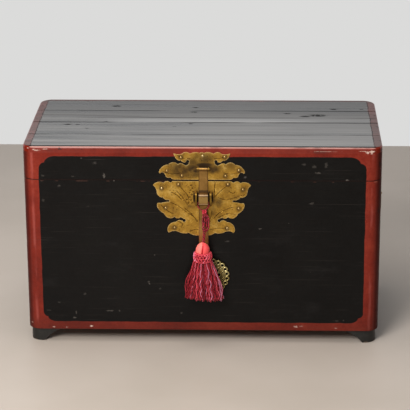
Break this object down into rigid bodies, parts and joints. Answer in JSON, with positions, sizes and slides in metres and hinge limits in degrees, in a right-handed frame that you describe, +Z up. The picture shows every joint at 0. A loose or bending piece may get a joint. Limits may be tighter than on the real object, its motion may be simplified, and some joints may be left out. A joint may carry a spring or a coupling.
{
  "type": "lacquered wedding chest",
  "caption": "Lacquered wooden chest on bracket feet with a hinged lid, brass foliate lock plates, hasp and hanging tassel.",
  "frame": {"origin": "on the floor under the middle of the chest, its brass included", "axes": "+X to the right seen from the front, +Y to the back, +Z up; the front faces -Y"},
  "size_m": [0.9006, 0.4867, 0.514],
  "materials": {
    "black_lacquer": "satin",
    "red_lacquer": "satin",
    "top_lacquer": "satin",
    "bare_wood": "matte",
    "foot_lacquer": "matte",
    "brass": "aged",
    "crimson_yarn": "matte",
    "coral_yarn": "matte"
  },
  "bodies": {
    "chest": {"front_board_upper": "black_lacquer", "front_board_lower": "black_lacquer", "back_board_upper": "red_lacquer", "back_board_lower": "red_lacquer", "left_board_upper": "red_lacquer", "left_board_lower": "red_lacquer", "right_board_upper": "red_lacquer", "right_board_lower": "red_lacquer", "bottom_board_front": "bare_wood", "bottom_board_back": "bare_wood", "lip_front": "bare_wood", "lip_left": "bare_wood", "lip_right": "bare_wood", "foot_front_left": "foot_lacquer", "foot_front_right": "foot_lacquer", "foot_back_left": "foot_lacquer", "foot_back_right": "foot_lacquer", "lower_lock_plate": "brass", "lower_plate_nails": "brass", "lock_eye_left": "brass", "lock_eye_right": "brass", "hinge_left_lower_leaf": "brass", "hinge_right_lower_leaf": "brass", "hinge_left_pin": "brass", "hinge_right_pin": "brass", "hinge_nails_lower": "brass", "handle_left_washers": "brass", "handle_right_washers": "brass", "handle_left_posts": "brass", "handle_right_posts": "brass"},
    "lid": {"lid_rail_front": "red_lacquer", "lid_rail_back": "red_lacquer", "lid_rail_left": "red_lacquer", "lid_rail_right": "red_lacquer", "lid_plank_1": "top_lacquer", "lid_plank_2": "top_lacquer", "lid_plank_3": "top_lacquer", "lid_plank_4": "top_lacquer", "upper_lock_plate": "brass", "upper_plate_nails": "brass", "hasp_ear_left": "brass", "hasp_ear_right": "brass", "hasp_pin": "brass", "hinge_left_upper_leaf": "brass", "hinge_right_upper_leaf": "brass", "hinge_nails_upper": "brass"},
    "hasp": {"hasp": "brass", "rosette_rivet": "brass"},
    "rosette": {"rosette": "brass"},
    "tassel": {"tassel_cord": "crimson_yarn", "tassel_cord_loop": "crimson_yarn", "tassel_knot": "crimson_yarn", "tassel_head": "coral_yarn", "tassel_collar": "crimson_yarn", "tassel_skirt": "crimson_yarn"},
    "left_handle": {"handle_left_bail": "brass"},
    "right_handle": {"handle_right_bail": "brass"}
  },
  "joints": [
    {"name": "lid_hinge", "type": "hinge", "parent": "chest", "child": "lid", "pos_m": [0, 0.2194, 0.43025], "axis": [-1, 0, 0], "range_deg": [0, 100]},
    {"name": "hasp_hinge", "type": "hinge", "parent": "lid", "child": "hasp", "pos_m": [0.0035, -0.2157, 0.461], "axis": [-1, 0, 0], "range_deg": [0, 165]},
    {"name": "rosette_swing", "type": "hinge", "parent": "hasp", "child": "rosette", "pos_m": [0.0035, -0.2149, 0.217], "axis": [0, 1, 0], "range_deg": [-65, 115]},
    {"name": "tassel_swing", "type": "hinge", "parent": "hasp", "child": "tassel", "pos_m": [0.0035, -0.217, 0.3785], "axis": [-1, 0, 0], "range_deg": [0, 90]},
    {"name": "left_handle_swing", "type": "hinge", "parent": "chest", "child": "left_handle", "pos_m": [-0.4458, 0.002, 0.345], "axis": [0, 1, 0], "range_deg": [0, 95]},
    {"name": "right_handle_swing", "type": "hinge", "parent": "chest", "child": "right_handle", "pos_m": [0.4458, 0.002, 0.345], "axis": [0, -1, 0], "range_deg": [0, 95]}
  ]
}
